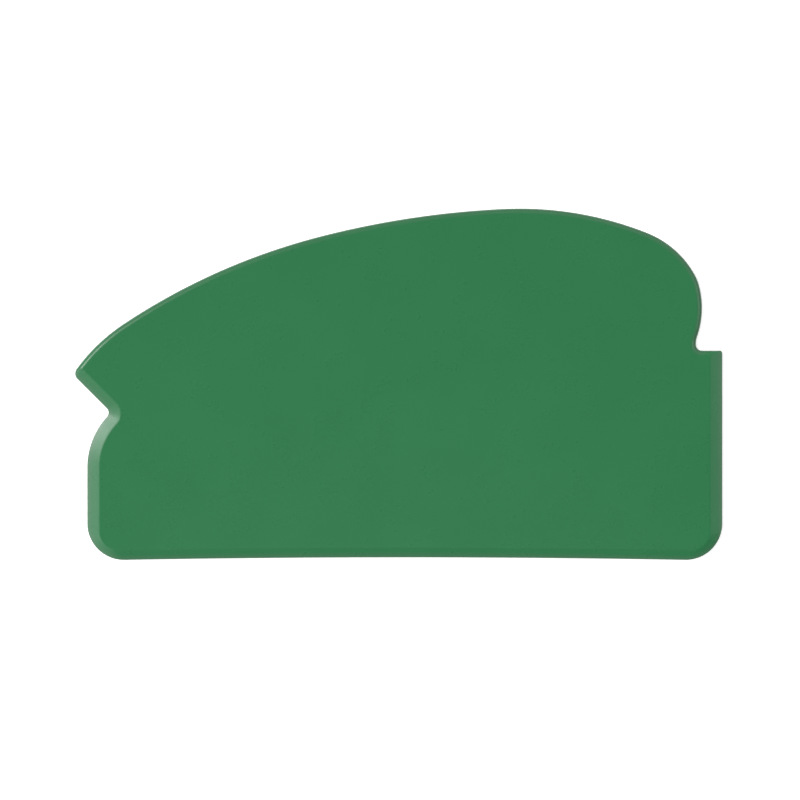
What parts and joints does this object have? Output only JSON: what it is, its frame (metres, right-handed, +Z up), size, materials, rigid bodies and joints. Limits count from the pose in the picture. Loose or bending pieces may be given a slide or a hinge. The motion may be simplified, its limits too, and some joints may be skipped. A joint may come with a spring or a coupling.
{
  "type": "pan scraper",
  "caption": "Thin flexible hand scraper with a straight working edge, bevelled rim, domed palm back, V notch at one end and a stepped shoulder at the other.",
  "frame": {"origin": "middle of the plate's box in length and width, on the flat face that the scraper rests on", "axes": "+X along the length towards the stepped end, +Y from the straight working edge towards the domed back, +Z up through the thickness"},
  "size_m": [0.165, 0.0896, 0.002],
  "materials": {
    "green_polypropylene": "satin"
  },
  "bodies": {
    "root": {"scraper_blade": "green_polypropylene"}
  },
  "joints": []
}
